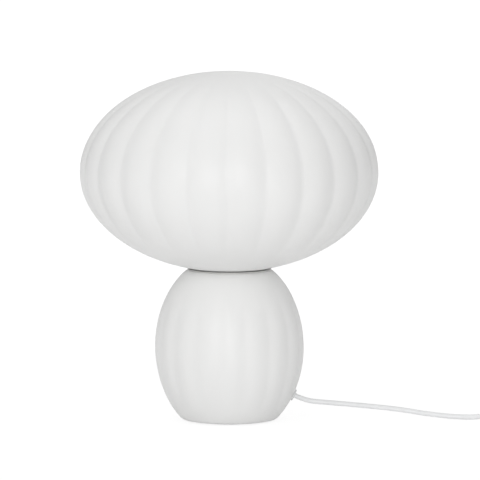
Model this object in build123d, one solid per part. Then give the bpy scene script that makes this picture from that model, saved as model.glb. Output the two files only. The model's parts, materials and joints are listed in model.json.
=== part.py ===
from build123d import *
import os
from math import asin, cos, degrees, hypot, pi, radians, sin, sqrt, tan

os.makedirs("parts", exist_ok=True)

# Mushroom table lamp in opal glass. Millimetres, +Z up. The origin is the middle of the foot's underside.
# +X is the side where the cord leaves the base, and -Y is the front.

# Shade: a low ellipsoid with vertical lobes, open at a plain neck that sits in the base's cup.
SHADE_RADIUS = 117.5  # over the lobes, at the widest ring
SHADE_HALF_HEIGHT = 78.6
SHADE_MID_Z = 196.2
SHADE_WALL = 3.6
SHADE_LOBES = 24
SHADE_VALLEY_ANGLE = -1.0  # from +X to the first valley
SHADE_VALLEY_DEPTH = 1.8
SHADE_LOBES_FROM = -57.0  # the lobes' lower and upper end, in degrees along the ellipse
SHADE_LOBES_TO = 75.0
NECK_RADIUS = 28.0
NECK_WALL = 2.8
NECK_END_Z = 108.3
NECK_ROUNDING = 0.9
SHADE_SIDE_ARC = 54.0  # radius of the hollow's side, which makes its oval with two flatter domes

# Base: an upright ellipsoid cut flat at both ends, with soft vertical flutes.
BASE_RADIUS = 58.8
BASE_HALF_HEIGHT = 74.0
BASE_MID_Z = 58.0
BASE_BOTTOM_Z = 1.0
BASE_TOP_Z = 118.8
BASE_WALL = 3.6
BASE_FLUTES = 18
BASE_VALLEY_ANGLE = 2.5
BASE_VALLEY_DEPTH = 0.75
BASE_FLUTES_FROM = -46.5
BASE_FLUTES_TO = 40.0
BASE_MOUTH_RADIUS = 30.5
RECESS_RADIUS = 26.0
RECESS_Z = 9.0
FLOOR_Z = 12.5
FOOT_PAD_RADIUS = 31.0

# Centre rod, M10 x 1, and what it clamps.
ROD_RADIUS = 5.0
ROD_BORE_RADIUS = 3.75
ROD_FROM_Z = 2.0
ROD_TO_Z = 117.8
ROD_HOLE_RADIUS = 5.2
ROD_SLOT_MID_Z = 46.5
ROD_SLOT_LENGTH = 17.0
ROD_SLOT_WIDTH = 6.2
NUT_FLATS = 14.0
NUT_HEIGHT = 3.5
WASHER_RADIUS = 9.5
WASHER_THICKNESS = 1.0
GASKET_THICKNESS = 1.5
CUP_SHEET = 0.8
CUP_RADIUS = 29.8
CUP_FLANGE_RADIUS = 32.8
CUP_FLOOR_Z = 105.2
SEAT_TOP_Z = 108.0

# Lampholder and bulb, E14.
HOLDER_CAP_Z = 111.2
HOLDER_CONE_Z = 117.5
HOLDER_SPLIT_Z = 127.2
HOLDER_TOP_Z = 158.0
HOLDER_RADIUS = 13.8
HOLDER_WALL = 1.5
INSERT_RADIUS = 12.1
INSERT_FROM_Z = 124.5
INSERT_TO_Z = 132.5
SHELL_RADIUS = 7.8
SHELL_SHEET = 0.35
SHELL_TOP_Z = 156.0
TERMINAL_X = 8.5
TERMINAL_RADIUS = 1.7
TERMINAL_HEAD = 1.6
TERMINAL_LENGTH = 7.0
BULB_TIP_Z = 133.4
BULB_THREAD_RADIUS = 6.9
BULB_CAP_FROM_Z = 137.0
BULB_CAP_TO_Z = 158.0
BULB_COLLAR_TO_Z = 178.0
BULB_RADIUS = 17.0  # a candle bulb, which goes through the shade's neck with room to spare
BULB_HALF_HEIGHT = 45.0
BULB_MID_Z = 188.0
BULB_SHELL = 1.2
LED_BOARD_RADIUS = 12.0
LED_RING_RADIUS = 7.8
LED_COUNT = 6

# Cord: a flat twin flex.
CORD_WIDTH = 5.2
CORD_THICKNESS = 3.4
CORD_EXIT_Z = 19.5
CORD_BEND_RADIUS = 25.0
CORD_TOP_Z = 118.5
CORD_FIT = 0.1
LEAD_RADIUS = 0.9
GROMMET_NECK_RADIUS = 3.9
GROMMET_FLANGE_RADIUS = 4.7
GROMMET_LIP = 1.2

# In-line switch.
SWITCH_X = 277.0
SWITCH_LENGTH = 62.0
SWITCH_WIDTH = 24.0
SWITCH_HEIGHT = 17.0
SWITCH_SPLIT_Z = 7.5
SWITCH_WALL = 1.6
ROCKER_PIVOT_Z = 12.5
ROCKER_RADIUS = 10.5
ROCKER_WIDTH = 8.8
ROCKER_REST_TILT = 8.0
ROCKER_PIN_RADIUS = 1.0
RELIEF_LENGTH = 20.0
PORT_SIZE = (7.4, 6.0)  # the opening that holds a strain relief
SWITCH_CORNER = 6.5
SWITCH_SCREW_X = 19.0
SWITCH_SCREW_Y = 7.0
SWITCH_SCREW_RADIUS = 1.6
SWITCH_POST_RADIUS = 3.0

# The cord's route on its centreline, from the bush in the base to the switch, on to the coil, and
# from the coil to the plug. The first two points of the lead and the ends of the coil are worked out.
LEAD_FIRST_RUN = 10.0
LEAD_ROUTE = [
    (78.0, -0.4, 13.3), (104.0, 0.8, 10.9), (134.0, 0.6, 7.9), (156.0, -1.0, 4.3),
    (178.0, -2.2, 2.2), (194.0, -1.6, 1.8), (204.0, -0.8, 3.6), (213.0, 0.0, 6.2), (221.5, 0.0, 7.5),
    (230.0, 0.0, 7.5),
]
FEED_ROUTE = [
    (324.0, 0.0, 7.5), (332.5, 0.0, 7.5), (342.5, 0.0, 6.2), (353.0, 0.0, 3.9), (362.0, 0.0, 2.9),
]
TAIL_ROUTE = [
    (359.5, 76.2, 6.8), (350.0, 75.4, 6.7), (338.5, 75.3, 5.6), (327.0, 76.0, 5.9), (316.0, 76.35, 6.85),
    (307.5, 76.35, 6.85),
]

# Coil of the spare cord, and the plug beside it.
COIL_X = 374.0
COIL_OUTER_RADIUS = 39.6
COIL_END = CORD_WIDTH  # straight stretch at each end
COIL_PITCH = 5.7
COIL_LAYER_PITCH = 3.9
COIL_TURNS_PER_LAYER = 3
COIL_TURNS = 5.5
COIL_Z = 2.9  # the lowest layer lies on the tie
COIL_STEEPNESS = 1.7  # slope in the middle of a climb, against the climb's mean slope
TIE_THICKNESS = 0.9
TIE_WIDTH = 11.0
PLUG_X = 290.0  # where the plug's body meets its strain relief
PLUG_Y = 76.35
PLUG_LENGTH = 33.0
PLUG_RELIEF_LENGTH = 20.0
PLUG_WIDTH = 35.3
PLUG_HEIGHT = 13.7
PIN_RADIUS = 2.0
PIN_LENGTH = 19.0
PIN_SPACING = 18.6
SLEEVE_LENGTH = 10.0
PIN_CORE_RADIUS = 1.4
PIN_DEPTH = 4.0  # how far a pin goes into the plug


def turned(*outline):
    """A turned piece, from the (radius, height) corners of its half section."""
    return revolve(make_face(Polyline(*[(r, 0, z) for r, z in outline], close=True)), Axis.Z)


def rod_between(start, end, radius):
    """A round bar from one point to another."""
    along = Vector(*end) - Vector(*start)
    return extrude(Plane(origin=start, z_dir=along) * Circle(radius), along.length)


def ellipse_line(mid_z, radius, half_height, low_z, high_z):
    """The part of an ellipse about the axis, on the +X side, that lies between two heights."""
    low, high = ((z - mid_z) / half_height for z in (low_z, high_z))
    low = degrees(asin(low))
    high = 90.0 if high > 1 - 1e-9 else degrees(asin(high))
    return Plane.XZ * EllipticalCenterArc((0, mid_z), radius, half_height, low, arc_size=high - low)


def under_line(line, low_z, high_z):
    """A turned solid from the axis out to a curved line, flat at its two ends."""
    first, last = line @ 0, line @ 1
    edges = [line, Line((0, 0, high_z), (0, 0, low_z))]
    if first.X > 0.001:
        edges.append(Line((0, 0, low_z), first))
    if last.X > 0.001:
        edges.append(Line(last, (0, 0, high_z)))
    return revolve(make_face(edges), Axis.Z)


def lobed_band(mid_z, radius, half_height, count, first_valley, depth, low, high, sections):
    """The fluted middle of a glass body: lobes between valleys that fade out at both ends."""
    faces = []
    for i in range(sections + 1):
        at = low + (high - low) * i / sections
        ring = radius * cos(radians(at))
        z = mid_z + half_height * sin(radians(at))
        ease = min((at - low) / 24.0, (high - at) / 24.0, 1.0)
        valley = ring - depth * ring / radius * ease * ease * (3 - 2 * ease)
        arcs = []
        for k in range(count):
            angles = [first_valley + 360 / count * (k + step) for step in (0, 0.5, 1)]
            points = [
                (r * cos(radians(a)), r * sin(radians(a)), z)
                for r, a in zip((valley, ring, valley), angles)
            ]
            arcs.append(ThreePointArc(*points))
        faces.append(make_face(arcs))
    return loft(faces)


def shade_glass():
    """Opal shade with its neck, smooth inside."""
    low_z = SHADE_MID_Z + SHADE_HALF_HEIGHT * sin(radians(SHADE_LOBES_FROM))
    high_z = SHADE_MID_Z + SHADE_HALF_HEIGHT * sin(radians(SHADE_LOBES_TO))
    top_z = SHADE_MID_Z + SHADE_HALF_HEIGHT
    neck_z = SHADE_MID_Z - SHADE_HALF_HEIGHT * sqrt(1 - (NECK_RADIUS / SHADE_RADIUS) ** 2)
    size = (SHADE_MID_Z, SHADE_RADIUS, SHADE_HALF_HEIGHT)
    outside = (
        turned((0, NECK_END_Z), (NECK_RADIUS, NECK_END_Z), (NECK_RADIUS, neck_z), (0, neck_z))
        + under_line(ellipse_line(*size, neck_z, low_z), neck_z, low_z)
        + lobed_band(
            *size, SHADE_LOBES, SHADE_VALLEY_ANGLE, SHADE_VALLEY_DEPTH,
            SHADE_LOBES_FROM, SHADE_LOBES_TO, 16,
        )
        + under_line(ellipse_line(*size, high_z, top_z), high_z, top_z)
    )
    bore = Cylinder(NECK_RADIUS - NECK_WALL, 2 * SHADE_MID_Z - SHADE_HALF_HEIGHT)
    glass = outside - shade_hollow() - bore
    rim = glass.edges().filter_by(GeomType.CIRCLE).group_by(Axis.Z)[0]
    return fillet(rim, NECK_ROUNDING)


def shade_hollow():
    """The space inside the shade: an oval of four arcs, turned about the axis."""
    radius, half_height = SHADE_RADIUS - SHADE_WALL, SHADE_HALF_HEIGHT - SHADE_WALL
    side = SHADE_SIDE_ARC
    off_axis = radius - side
    dome = (off_axis**2 + half_height**2 - side**2) / (2 * (half_height - side))
    lean = Vector(off_axis, dome - half_height).normalized()
    join = Vector(off_axis, 0) + lean * side
    tip = Vector(0, half_height)
    centre = Vector(0, half_height - dome)
    middle = centre + (tip + join - 2 * centre).normalized() * dome
    above = [tip, middle, join]
    below = [Vector(v.X, -v.Y) for v in reversed(above)]
    arcs = [above, [join, Vector(radius, 0), below[0]], below]
    edges = [ThreePointArc(*[(v.X, 0, SHADE_MID_Z + v.Y) for v in arc]) for arc in arcs]
    edges.append(Line((0, 0, SHADE_MID_Z - half_height), (0, 0, SHADE_MID_Z + half_height)))
    return revolve(make_face(edges), Axis.Z)


def base_glass():
    """Opal base: open at the top, with a floor that the rod goes through and a recess under it."""
    low_z = BASE_MID_Z + BASE_HALF_HEIGHT * sin(radians(BASE_FLUTES_FROM))
    high_z = BASE_MID_Z + BASE_HALF_HEIGHT * sin(radians(BASE_FLUTES_TO))
    size = (BASE_MID_Z, BASE_RADIUS, BASE_HALF_HEIGHT)
    outside = (
        under_line(ellipse_line(*size, BASE_BOTTOM_Z, low_z), BASE_BOTTOM_Z, low_z)
        + lobed_band(
            *size, BASE_FLUTES, BASE_VALLEY_ANGLE, BASE_VALLEY_DEPTH,
            BASE_FLUTES_FROM, BASE_FLUTES_TO, 12,
        )
        + under_line(ellipse_line(*size, high_z, BASE_TOP_Z), high_z, BASE_TOP_Z)
    )
    rims = outside.edges().filter_by(GeomType.CIRCLE).group_by(Axis.Z)
    outside = fillet([*rims[0], *rims[-1]], 1.4)
    radius, half_height = BASE_RADIUS - BASE_WALL, BASE_HALF_HEIGHT - BASE_WALL
    mouth_z = BASE_MID_Z + half_height * sqrt(1 - (BASE_MOUTH_RADIUS / radius) ** 2)
    floor_radius = radius * sqrt(1 - ((BASE_MID_Z - FLOOR_Z) / half_height) ** 2)
    wall = ThreePointArc(
        (floor_radius, 0, FLOOR_Z), (radius, 0, BASE_MID_Z), (BASE_MOUTH_RADIUS, 0, mouth_z)
    )
    hollow = under_line(wall, FLOOR_Z, mouth_z)
    mouth = Pos(0, 0, mouth_z) * Cylinder(
        BASE_MOUTH_RADIUS, BASE_TOP_Z, align=(Align.CENTER, Align.CENTER, Align.MIN)
    )
    recess = Pos(0, 0, RECESS_Z) * Cylinder(
        RECESS_RADIUS, BASE_TOP_Z, align=(Align.CENTER, Align.CENTER, Align.MAX)
    )
    rod_hole = Cylinder(ROD_HOLE_RADIUS, 4 * FLOOR_Z)
    return outside - hollow - mouth - recess - rod_hole - cord_hole()


def exit_plane():
    """Where the cord goes through the base's wall: on the outer surface, with Z pointing out."""
    at = asin((CORD_EXIT_Z - BASE_MID_Z) / BASE_HALF_HEIGHT)
    outward = Vector(cos(at) / BASE_RADIUS, 0, sin(at) / BASE_HALF_HEIGHT)
    return Plane(origin=(BASE_RADIUS * cos(at), 0, CORD_EXIT_Z), x_dir=(0, 1, 0), z_dir=outward)


def cord_hole():
    return extrude(exit_plane() * Circle(GROMMET_NECK_RADIUS + CORD_FIT), 12, both=True)


def flat_octagon(width, height, corner=0.3):
    """A rectangle with its corners cut, each by a share of its height."""
    w, h, cut = width / 2, height / 2, corner * height
    corners = [(w, h - cut), (w - cut, h), (cut - w, h), (-w, h - cut)]
    return make_face(Polyline(*corners, *[(x, -y) for x, y in reversed(corners)], close=True))


def cord_section(fit=0.0):
    """The flex's section: two round cores side by side, drawn as a flat hexagon."""
    w, h = CORD_WIDTH / 2 + fit, CORD_THICKNESS / 2 + fit
    flat = w - 0.35 * CORD_THICKNESS
    corners = [(w, 0), (flat, h), (-flat, h), (-w, 0), (-flat, -h), (flat, -h)]
    return make_face(Polyline(*corners, close=True))


def cord_grommet():
    """Soft bush in the base's wall, with a lip on each side that is squeezed against the glass."""
    plane = exit_plane()
    wall = BASE_WALL + 0.4
    bush = extrude(plane.offset(-wall) * Circle(GROMMET_NECK_RADIUS), wall)
    bush += extrude(plane.offset(-wall - GROMMET_LIP) * Circle(GROMMET_FLANGE_RADIUS - 0.3), GROMMET_LIP)
    bush += extrude(plane.offset(-0.4) * Circle(GROMMET_FLANGE_RADIUS), GROMMET_LIP + 0.4)
    return bush - extrude(plane * cord_section(CORD_FIT), 20, both=True)


def foot_pad():
    """Thin felt disc under the base."""
    return Cylinder(FOOT_PAD_RADIUS, BASE_BOTTOM_Z, align=(Align.CENTER, Align.CENTER, Align.MIN))


def centre_rod():
    """Hollow threaded rod that holds the lamp together, with a slot where the cord comes in."""
    rod = turned(
        (ROD_BORE_RADIUS, ROD_FROM_Z), (ROD_RADIUS, ROD_FROM_Z), (ROD_RADIUS, ROD_TO_Z),
        (ROD_BORE_RADIUS, ROD_TO_Z),
    )
    side = Plane(origin=(0, 0, ROD_SLOT_MID_Z), x_dir=(0, 0, 1), z_dir=(1, 0, 0))
    return rod - extrude(side * Rectangle(ROD_SLOT_LENGTH, ROD_SLOT_WIDTH), 2 * ROD_RADIUS)


def washer(radius, from_z, to_z):
    return turned(
        (ROD_HOLE_RADIUS, from_z), (radius, from_z), (radius, to_z), (ROD_HOLE_RADIUS, to_z)
    )


def rod_washers():
    """The two washers under the rod's nuts."""
    cup_floor = CUP_FLOOR_Z + CUP_SHEET
    bottom = RECESS_Z - GASKET_THICKNESS
    return washer(WASHER_RADIUS, cup_floor, cup_floor + WASHER_THICKNESS) + washer(
        WASHER_RADIUS, bottom - WASHER_THICKNESS, bottom
    )


def rod_nuts():
    """The two thin hexagon nuts that pull the rod tight."""
    across = RegularPolygon(NUT_FLATS / 2, 6, major_radius=False)
    above = CUP_FLOOR_Z + CUP_SHEET + WASHER_THICKNESS
    below = RECESS_Z - GASKET_THICKNESS - WASHER_THICKNESS
    nuts = Pos(0, 0, above) * extrude(across, NUT_HEIGHT)
    nuts += Pos(0, 0, below) * extrude(across, -NUT_HEIGHT)
    return nuts - Cylinder(ROD_RADIUS + 0.05, 4 * BASE_TOP_Z)


def fitter_cup():
    """Pressed steel cup: its flange lies on the base's rim and its floor is clamped by the rod."""
    inner, floor = CUP_RADIUS - CUP_SHEET, CUP_FLOOR_Z + CUP_SHEET
    return turned(
        (ROD_HOLE_RADIUS, CUP_FLOOR_Z), (CUP_RADIUS, CUP_FLOOR_Z), (CUP_RADIUS, BASE_TOP_Z),
        (CUP_FLANGE_RADIUS, BASE_TOP_Z), (CUP_FLANGE_RADIUS, BASE_TOP_Z + CUP_SHEET),
        (inner, BASE_TOP_Z + CUP_SHEET), (inner, floor), (ROD_HOLE_RADIUS, floor),
    )


def shade_seat_ring():
    """Silicone ring in the cup that the shade's neck stands on."""
    floor, edge = CUP_FLOOR_Z + CUP_SHEET, CUP_RADIUS - CUP_SHEET - 0.2
    return turned((24.6, floor), (edge, floor), (edge, SEAT_TOP_Z), (24.6, SEAT_TOP_Z))


def holder_cap():
    """Lower half of the lampholder, screwed on the rod."""
    bore = ROD_RADIUS + 0.05
    inner = HOLDER_RADIUS - HOLDER_WALL
    return turned(
        (bore, HOLDER_CAP_Z), (7.5, HOLDER_CAP_Z), (7.5, HOLDER_CONE_Z), (HOLDER_RADIUS, HOLDER_CONE_Z + 4.0),
        (HOLDER_RADIUS, HOLDER_SPLIT_Z), (inner, HOLDER_SPLIT_Z), (inner, HOLDER_CONE_Z + 4.6),
        (bore, HOLDER_CONE_Z + 0.6),
    )


def holder_insert():
    """Heat-proof block that carries the contacts, with a hole for each terminal screw."""
    block = Pos(0, 0, INSERT_FROM_Z) * Cylinder(
        INSERT_RADIUS, INSERT_TO_Z - INSERT_FROM_Z, align=(Align.CENTER, Align.CENTER, Align.MIN)
    )
    return block - terminal_posts(TERMINAL_RADIUS + 0.05)


def terminal_posts(radius):
    """An eight-sided bar, or hole, at each of the two terminals."""
    posts = Part()
    for side in (-1, 1):
        at = Pos(side * TERMINAL_X, 0, INSERT_FROM_Z - TERMINAL_HEAD)
        posts += at * extrude(RegularPolygon(radius, 8), TERMINAL_LENGTH)
    return posts


def terminal_screws():
    """The two screws that hold the leads under the insert."""
    return terminal_posts(TERMINAL_RADIUS)


def centre_contact():
    """Brass tongue under the bulb's tip."""
    tongue = Box(6.0, 3.6, 0.8, align=(Align.CENTER, Align.CENTER, Align.MIN))
    return Pos(0, 0, INSERT_TO_Z) * tongue


def side_contact():
    """Brass strip under the screw shell's floor."""
    strip = Pos(6.2, 0, INSERT_TO_Z) * Box(2.4, 3.6, 0.5, align=(Align.CENTER, Align.CENTER, Align.MIN))
    return strip


def screw_shell():
    """Brass shell that the bulb's cap screws into, with a ring for a floor."""
    floor, inner = INSERT_TO_Z + 0.5, SHELL_RADIUS - SHELL_SHEET
    return turned(
        (4.6, floor), (SHELL_RADIUS, floor), (SHELL_RADIUS, SHELL_TOP_Z), (inner, SHELL_TOP_Z),
        (inner, floor + SHELL_SHEET), (4.6, floor + SHELL_SHEET),
    )


def holder_sleeve():
    """Upper half of the lampholder, round the screw shell."""
    inner, mouth = HOLDER_RADIUS - HOLDER_WALL, SHELL_RADIUS + 0.7
    return turned(
        (inner, HOLDER_SPLIT_Z), (HOLDER_RADIUS, HOLDER_SPLIT_Z), (HOLDER_RADIUS - 1.0, HOLDER_TOP_Z),
        (mouth, HOLDER_TOP_Z), (inner - 1.0, HOLDER_TOP_Z - 1.6),
    )


def bulb_tip():
    return turned((0, BULB_TIP_Z), (2.2, BULB_TIP_Z), (4.2, BULB_TIP_Z + 1.6), (0, BULB_TIP_Z + 1.6))


def bulb_insulator():
    low = BULB_TIP_Z + 1.6
    return turned((0, low), (4.2, low), (6.1, BULB_CAP_FROM_Z), (0, BULB_CAP_FROM_Z))


def bulb_cap():
    """The bulb's own screw cap."""
    height = BULB_CAP_TO_Z - BULB_CAP_FROM_Z
    cap = Cylinder(BULB_THREAD_RADIUS, height, align=(Align.CENTER, Align.CENTER, Align.MIN))
    return Pos(0, 0, BULB_CAP_FROM_Z) * cap


def bulb_collar():
    """Closed body between the cap and the globe, which holds the driver."""
    edge = BULB_RADIUS * sqrt(1 - ((BULB_MID_Z - BULB_COLLAR_TO_Z) / BULB_HALF_HEIGHT) ** 2)
    return turned(
        (0, BULB_CAP_TO_Z), (8.0, BULB_CAP_TO_Z), (edge, BULB_COLLAR_TO_Z - 3.0), (edge, BULB_COLLAR_TO_Z),
        (0, BULB_COLLAR_TO_Z),
    )


def bulb_led_board():
    """Round board inside the globe that carries the light source."""
    upward = (Align.CENTER, Align.CENTER, Align.MIN)
    board = Pos(0, 0, BULB_COLLAR_TO_Z) * Cylinder(LED_BOARD_RADIUS, 1.6, align=upward)
    for k in range(LED_COUNT):
        angle = radians(360 / LED_COUNT * k)
        at = Pos(LED_RING_RADIUS * cos(angle), LED_RING_RADIUS * sin(angle), BULB_COLLAR_TO_Z + 1.6)
        board += at * Box(2.8, 2.8, 0.8, align=upward)
    return board


def bulb_globe():
    """Thin diffusing globe of the candle bulb, open where it meets the collar."""
    skins = []
    for inset in (0, BULB_SHELL):
        radius, half_height = BULB_RADIUS - inset, BULB_HALF_HEIGHT - inset
        top = BULB_MID_Z + half_height
        line = ellipse_line(BULB_MID_Z, radius, half_height, BULB_COLLAR_TO_Z, top)
        skins.append(under_line(line, BULB_COLLAR_TO_Z, top))
    return skins[0] - skins[1]


def inner_cord():
    """The flex from the base's wall, through the rod's slot and up the rod to the lampholder."""
    plane = exit_plane()
    start = plane.origin + plane.z_dir * GROMMET_LIP
    corner = Vector(0, 0, start.Z - start.X * plane.z_dir.Z / plane.z_dir.X)
    path = FilletPolyline(start, corner, (0, 0, CORD_TOP_Z), radius=CORD_BEND_RADIUS)
    section = Plane(origin=start, x_dir=(0, 1, 0), z_dir=-plane.z_dir) * cord_section()
    return sweep(section, path)


def lead(side):
    """One insulated conductor from the flex's end to its terminal screw."""
    top = INSERT_FROM_Z - TERMINAL_HEAD - LEAD_RADIUS - 0.05
    start = (side * 1.05, 0, CORD_TOP_Z)
    path = FilletPolyline(
        start, (side * 1.05, 0, CORD_TOP_Z + 1.8), (side * 3.6, 0, top), (side * TERMINAL_X, 0, top),
        radius=LEAD_RADIUS + 0.1,
    )
    return sweep(Plane(origin=start, z_dir=path % 0) * RegularPolygon(LEAD_RADIUS, 6), path)


def corner_radii(route):
    """For each corner of a cord's route, the largest arc that its two runs have room for."""
    radii = []
    for before, at, after in zip(route, route[1:], route[2:]):
        into, out = Vector(*at) - Vector(*before), Vector(*after) - Vector(*at)
        turn = radians(into.get_angle(out))
        radii.append(0.45 * min(into.length, out.length) / tan(turn / 2))
    return radii


def laid_cord(name, route):
    """A free stretch of the flex, as straight runs joined by tangent arcs."""
    route = [Vector(*point) for point in route]
    radii = corner_radii(route)
    path = FilletPolyline(*route, radius=radii)
    section = upright_section(route[0], path % 0)
    cord = sweep(section, path)
    print(name, "radii", [round(r) for r in radii], "length", round(path.length, 1))
    print(name, "volume", round(cord.volume), "section x length", round(section.area * path.length))
    return cord


def cord_lead():
    plane = exit_plane()
    start = plane.origin + plane.z_dir * GROMMET_LIP
    return laid_cord("cord_lead", [start, start + plane.z_dir * LEAD_FIRST_RUN, *LEAD_ROUTE])


def cord_feed():
    return laid_cord("cord_feed", [*FEED_ROUTE, (COIL_X - COIL_END, 0, COIL_Z)])


def cord_tail():
    end, way = coil_station(COIL_TURNS)
    return laid_cord("cord_tail", [end + way * COIL_END, *TAIL_ROUTE])


def coil_station(turns):
    """The coil's point and direction after so many turns from its outer end."""
    per_cycle = 2 * COIL_TURNS_PER_LAYER
    phase = turns % per_cycle
    inward = min(phase, per_cycle - phase)
    radius = COIL_OUTER_RADIUS - COIL_PITCH * inward
    angle = 2 * pi * turns - pi / 2
    radial = Vector(cos(angle), sin(angle), 0)
    onward = Vector(-sin(angle), cos(angle), 0)
    reversing = phase % COIL_TURNS_PER_LAYER == 0
    layer = turns // COIL_TURNS_PER_LAYER
    drift, climb = 0.0, 0.0
    if reversing and 0 < turns < COIL_TURNS:
        layer -= 0.5
        climb = COIL_STEEPNESS * COIL_LAYER_PITCH / 0.5
    elif 0 < turns < COIL_TURNS:
        drift = -COIL_PITCH if phase < COIL_TURNS_PER_LAYER else COIL_PITCH
    point = Vector(COIL_X, COIL_OUTER_RADIUS, COIL_Z + COIL_LAYER_PITCH * layer) + radial * radius
    way = radial * drift + onward * (2 * pi * radius) + Vector(0, 0, climb)
    return point, way.normalized()


def biarc(start, start_way, end, end_way):
    """Two arcs that run from one point and direction to another."""
    across, ways = end - start, start_way + end_way
    spread = 2 * (1 - start_way.dot(end_way))
    reach = (sqrt(across.dot(ways) ** 2 + spread * across.dot(across)) - across.dot(ways)) / spread
    first, second = start + start_way * reach, end - end_way * reach
    middle = (first + second) / 2
    return [
        TangentArc(start, middle, tangent=start_way),
        TangentArc(middle, end, tangent=(second - first).normalized()),
    ]


def least_gap(edges):
    """The coil's least gap to itself, between centreline points that aren't neighbours on the cord."""
    points, run = [], 0.0
    for edge in edges:
        steps = max(2, round(edge.length / 1.2))
        points += [(*(edge @ (i / steps)), run + edge.length * i / steps) for i in range(steps)]
        run += edge.length
    core = (CORD_WIDTH - CORD_THICKNESS) / 2
    least = 99.0
    for i, (x, y, z, run) in enumerate(points):
        for x2, y2, z2, run2 in points[i + 1 :]:
            if run2 - run < 5 * CORD_WIDTH or abs(z2 - z) > 2 * CORD_THICKNESS:
                continue
            aside = max(hypot(x2 - x, y2 - y) - 2 * core, 0)
            least = min(least, hypot(aside, z2 - z) - CORD_THICKNESS)
    return least


def upright_section(at, way):
    """The flex's section at a point of its path, lying flat."""
    return Plane(origin=at, x_dir=Vector(0, 0, 1).cross(way), z_dir=way) * cord_section()


def cord_coil():
    """The spare cord, wound in and out in two layers as one tube that keeps lying flat."""
    stations = [coil_station(i / 4) for i in range(round(COIL_TURNS * 4) + 1)]
    (start, start_way), (end, end_way) = stations[0], stations[-1]
    stretches = [(False, [Line(start - start_way * COIL_END, start)])]
    for here, there in zip(stations, stations[1:]):
        climbing = abs(there[0].Z - here[0].Z) > COIL_LAYER_PITCH / 4
        if climbing != stretches[-1][0]:
            stretches.append((climbing, []))
        stretches[-1][1].extend(biarc(*here, *there))
    stretches[-1][1].append(Line(end, end + end_way * COIL_END))
    coil = Part()
    for climbing, edges in stretches:
        path = Wire(edges)
        section = upright_section(path @ 0, path % 0)
        guide = {"binormal": path.moved(Pos(0, 0, CORD_BEND_RADIUS))} if climbing else {}
        coil += sweep(section, path, **guide)
    whole = [edge for _, edges in stretches for edge in edges]
    length = sum(edge.length for edge in whole)
    print("cord_coil length", round(length), "least gap", round(least_gap(whole), 2))
    print("cord_coil volume", round(coil.volume), "section x length", round(section.area * length))
    return coil


def cord_tie():
    """Strap round one side of the coil; the coil lies on it."""
    inmost, outmost, upper = (coil_station(turns)[0] for turns in (3.25, 0.25, 5.25))
    left, right = inmost.X, outmost.X
    low, high = COIL_Z, upper.Z
    width = right - left + CORD_WIDTH + 2.0
    height = high - low + CORD_THICKNESS + 0.6
    middle = Vector((left + right) / 2, COIL_OUTER_RADIUS + TIE_WIDTH / 2, (low + high) / 2)
    plane = Plane(origin=middle, x_dir=(-1, 0, 0), z_dir=(0, 1, 0))
    band = plane * flat_octagon(width + 2 * TIE_THICKNESS, height + 2 * TIE_THICKNESS, 0.2)
    return extrude(band - plane * flat_octagon(width, height, 0.2), -TIE_WIDTH)


def strain_relief(x, y, z, way, length):
    """Tapered sleeve round the flex, with a collar that keeps it in a housing's end wall."""
    plane = Plane(origin=(x, y, z), x_dir=(0, 1, 0), z_dir=(way, 0, 0))
    ends = [plane * flat_octagon(10.0, 8.6), plane.offset(length) * flat_octagon(7.4, 5.6)]
    sleeve = loft(ends, ruled=True)
    sleeve += extrude(plane.offset(-SWITCH_WALL - 0.1) * flat_octagon(*PORT_SIZE), SWITCH_WALL + 0.1)
    sleeve += extrude(plane.offset(-SWITCH_WALL - 1.3) * flat_octagon(9.6, 8.2), 1.2)
    return sleeve - extrude(plane * cord_section(CORD_FIT), 2 * length, both=True)


def switch_end(way):
    return SWITCH_X + way * SWITCH_LENGTH / 2


def switch_reliefs():
    """The two strain reliefs at the switch's ends."""
    reliefs = Part()
    for way in (-1, 1):
        reliefs += strain_relief(switch_end(way), 0, SWITCH_SPLIT_Z, way, RELIEF_LENGTH)
    return reliefs


def switch_outline(inset=0.0):
    """Plan of the switch: a rectangle with its corners cut."""
    w, h = SWITCH_LENGTH / 2 - inset, SWITCH_WIDTH / 2 - inset
    cut = SWITCH_CORNER - 0.6 * inset
    corners = [(w, h - cut), (w - cut, h), (cut - w, h), (-w, h - cut)]
    return make_face(Polyline(*corners, *[(x, -y) for x, y in reversed(corners)], close=True))


def switch_ports():
    """The openings in the switch's end walls that the strain reliefs sit in."""
    width, height = PORT_SIZE
    middle = Plane(origin=(SWITCH_X, 0, SWITCH_SPLIT_Z), x_dir=(0, 1, 0), z_dir=(1, 0, 0))
    return extrude(middle * flat_octagon(width + 0.1, height + 0.1), SWITCH_LENGTH, both=True)


def switch_posts(from_z, to_z, radius):
    """An eight-sided post, or hole, at each of the switch's two screws."""
    posts = Part()
    for side in (-1, 1):
        at = Pos(SWITCH_X + side * SWITCH_SCREW_X, -side * SWITCH_SCREW_Y, from_z)
        posts += at * extrude(RegularPolygon(radius, 8), to_z - from_z)
    return posts


def switch_base():
    """Lower half of the switch's housing."""
    shell = Pos(SWITCH_X, 0, 0) * extrude(switch_outline(), SWITCH_SPLIT_Z)
    shell = chamfer(shell.edges().group_by(Axis.Z)[0], 1.0)
    shell -= Pos(SWITCH_X, 0, SWITCH_WALL) * extrude(switch_outline(SWITCH_WALL), SWITCH_SPLIT_Z)
    shell += switch_posts(SWITCH_WALL, SWITCH_SPLIT_Z, SWITCH_POST_RADIUS)
    return shell - switch_ports() - switch_posts(-1, SWITCH_HEIGHT, SWITCH_SCREW_RADIUS + 0.05)


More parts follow.
